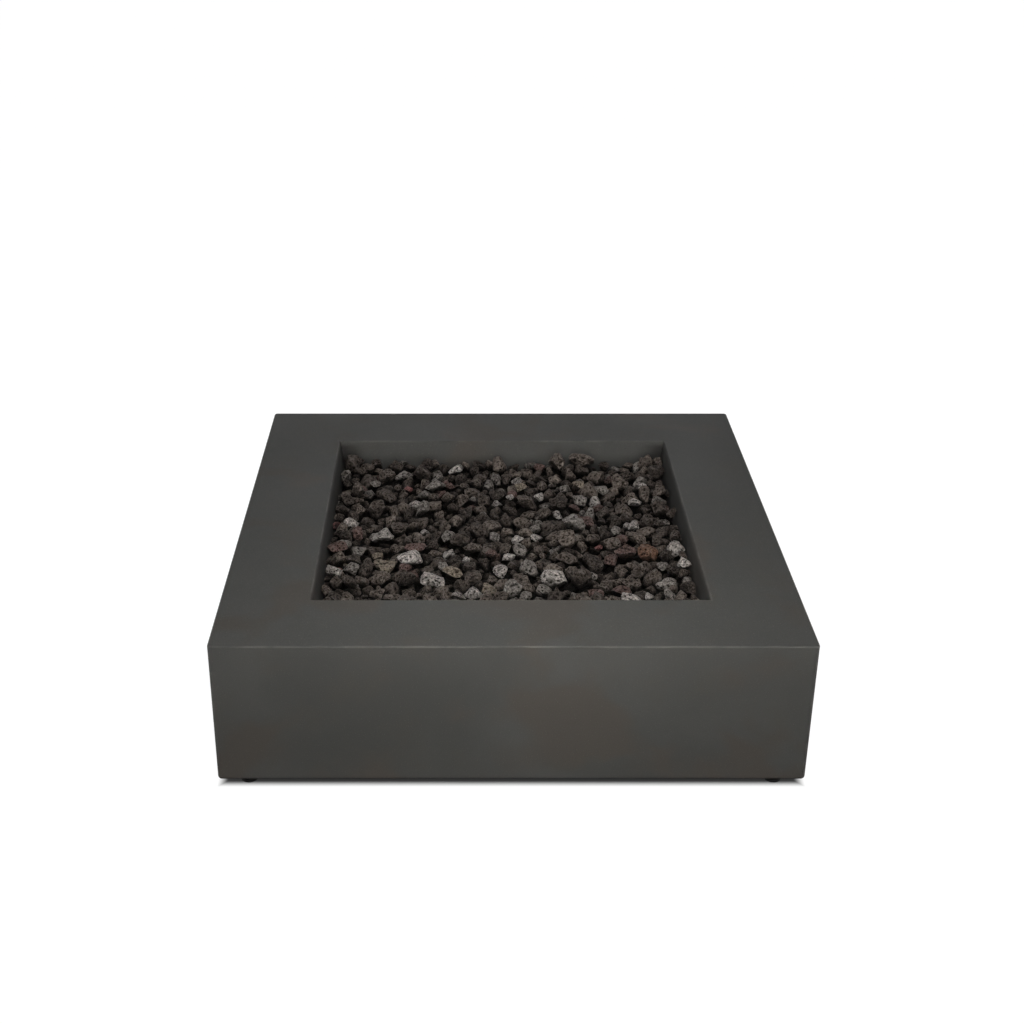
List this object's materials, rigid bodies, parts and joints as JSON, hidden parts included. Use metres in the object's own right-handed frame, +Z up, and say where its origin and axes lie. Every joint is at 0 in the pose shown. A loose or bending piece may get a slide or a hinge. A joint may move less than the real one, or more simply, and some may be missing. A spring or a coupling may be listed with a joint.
{
  "type": "fire pit table",
  "caption": "Low square concrete fire table with a sloping well of lava rock over a gas ring burner, on levelling feet, with a knob, igniter and gas inlet recessed in its back.",
  "frame": {"origin": "on the floor under the middle of the table", "axes": "+Z up, +Y to the back with the controls, +X to the right seen from the front"},
  "size_m": [1.295, 1.295, 0.358],
  "materials": {
    "concrete": "matte",
    "lava_rock": "matte",
    "foot_rubber": "matte",
    "zinc_steel": "satin",
    "stainless": "satin",
    "pan_enamel": "matte",
    "brass": "satin",
    "copper": "satin",
    "hose_rubber": "matte",
    "porcelain": "gloss",
    "black_plastic": "satin",
    "red_plastic": "gloss"
  },
  "bodies": {
    "table": {"concrete_shell": "concrete", "lava_rocks_top": "lava_rock", "lava_rocks_lower": "lava_rock", "burner_nipple": "zinc_steel", "pan_locknut": "zinc_steel", "tray_screws": "zinc_steel", "valve_nut": "zinc_steel", "battery": "zinc_steel", "burner_rings": "stainless", "burner_saddles": "stainless", "pilot_hood": "stainless", "burner_pan": "pan_enamel", "control_tray": "pan_enamel", "foot_inserts": "brass", "air_mixer": "brass", "jet_holder": "brass", "hose_nuts": "brass", "gas_valve": "brass", "valve_bonnet": "brass", "gas_inlet": "brass", "inlet_nut": "brass", "thermocouple": "copper", "thermocouple_lead": "copper", "inlet_pipe": "copper", "burner_hose": "hose_rubber", "spark_lead": "hose_rubber", "spark_electrode": "porcelain", "igniter_body": "black_plastic", "igniter_nut": "black_plastic"},
    "foot_pad_fl": {"foot_pad_fl": "foot_rubber"},
    "foot_pad_fr": {"foot_pad_fr": "foot_rubber"},
    "foot_pad_bl": {"foot_pad_bl": "foot_rubber"},
    "foot_pad_br": {"foot_pad_br": "foot_rubber"},
    "foot_stud_fl": {"foot_stud_fl": "zinc_steel"},
    "foot_stud_fr": {"foot_stud_fr": "zinc_steel"},
    "foot_stud_bl": {"foot_stud_bl": "zinc_steel"},
    "foot_stud_br": {"foot_stud_br": "zinc_steel"},
    "air_shutter": {"air_shutter": "zinc_steel"},
    "valve_plug": {"valve_plug": "brass"},
    "knob": {"valve_stem": "zinc_steel", "control_knob": "black_plastic"},
    "igniter_cap": {"igniter_cap": "black_plastic"},
    "igniter_button": {"igniter_button": "red_plastic"}
  },
  "joints": [
    {"name": "foot_fl_out", "type": "slide", "parent": "table", "child": "foot_pad_fl", "axis": [0, 0, -1], "range_m": [0, 0.012]},
    {"name": "foot_fl_turn", "type": "hinge", "parent": "foot_pad_fl", "child": "foot_stud_fl", "pos_m": [-0.582, -0.617, 0], "axis": [0, 0, -1], "range_deg": [0, 2469]},
    {"name": "foot_fr_out", "type": "slide", "parent": "table", "child": "foot_pad_fr", "axis": [0, 0, -1], "range_m": [0, 0.012]},
    {"name": "foot_fr_turn", "type": "hinge", "parent": "foot_pad_fr", "child": "foot_stud_fr", "pos_m": [0.582, -0.617, 0], "axis": [0, 0, -1], "range_deg": [0, 2469]},
    {"name": "foot_bl_out", "type": "slide", "parent": "table", "child": "foot_pad_bl", "axis": [0, 0, -1], "range_m": [0, 0.012]},
    {"name": "foot_bl_turn", "type": "hinge", "parent": "foot_pad_bl", "child": "foot_stud_bl", "pos_m": [-0.582, 0.617, 0], "axis": [0, 0, -1], "range_deg": [0, 2469]},
    {"name": "foot_br_out", "type": "slide", "parent": "table", "child": "foot_pad_br", "axis": [0, 0, -1], "range_m": [0, 0.012]},
    {"name": "foot_br_turn", "type": "hinge", "parent": "foot_pad_br", "child": "foot_stud_br", "pos_m": [0.582, 0.617, 0], "axis": [0, 0, -1], "range_deg": [0, 2469]},
    {"name": "shutter_turn", "type": "hinge", "parent": "table", "child": "air_shutter", "pos_m": [0, 0, 0.17], "axis": [0, 0, 1], "range_deg": [0, 90]},
    {"name": "knob_turn", "type": "hinge", "parent": "table", "child": "valve_plug", "pos_m": [0, 0.57, 0.13], "axis": [0, 1, 0], "range_deg": [0, 180]},
    {"name": "knob_press", "type": "slide", "parent": "valve_plug", "child": "knob", "axis": [0, -1, 0], "range_m": [0, 0.004], "stiffness_N_per_m": 1500, "springref_m": -0.003},
    {"name": "cap_off", "type": "slide", "parent": "table", "child": "igniter_cap", "axis": [0, 1, 0], "range_m": [0, 0.05]},
    {"name": "button_press", "type": "slide", "parent": "igniter_cap", "child": "igniter_button", "axis": [0, -1, 0], "range_m": [0, 0.004], "stiffness_N_per_m": 1000, "springref_m": -0.002}
  ],
  "couplings": [
    {"joint": "foot_fl_turn", "follows": "foot_fl_out", "rad_per_m": 3590.4},
    {"joint": "foot_fr_turn", "follows": "foot_fr_out", "rad_per_m": 3590.4},
    {"joint": "foot_bl_turn", "follows": "foot_bl_out", "rad_per_m": 3590.4},
    {"joint": "foot_br_turn", "follows": "foot_br_out", "rad_per_m": 3590.4}
  ]
}
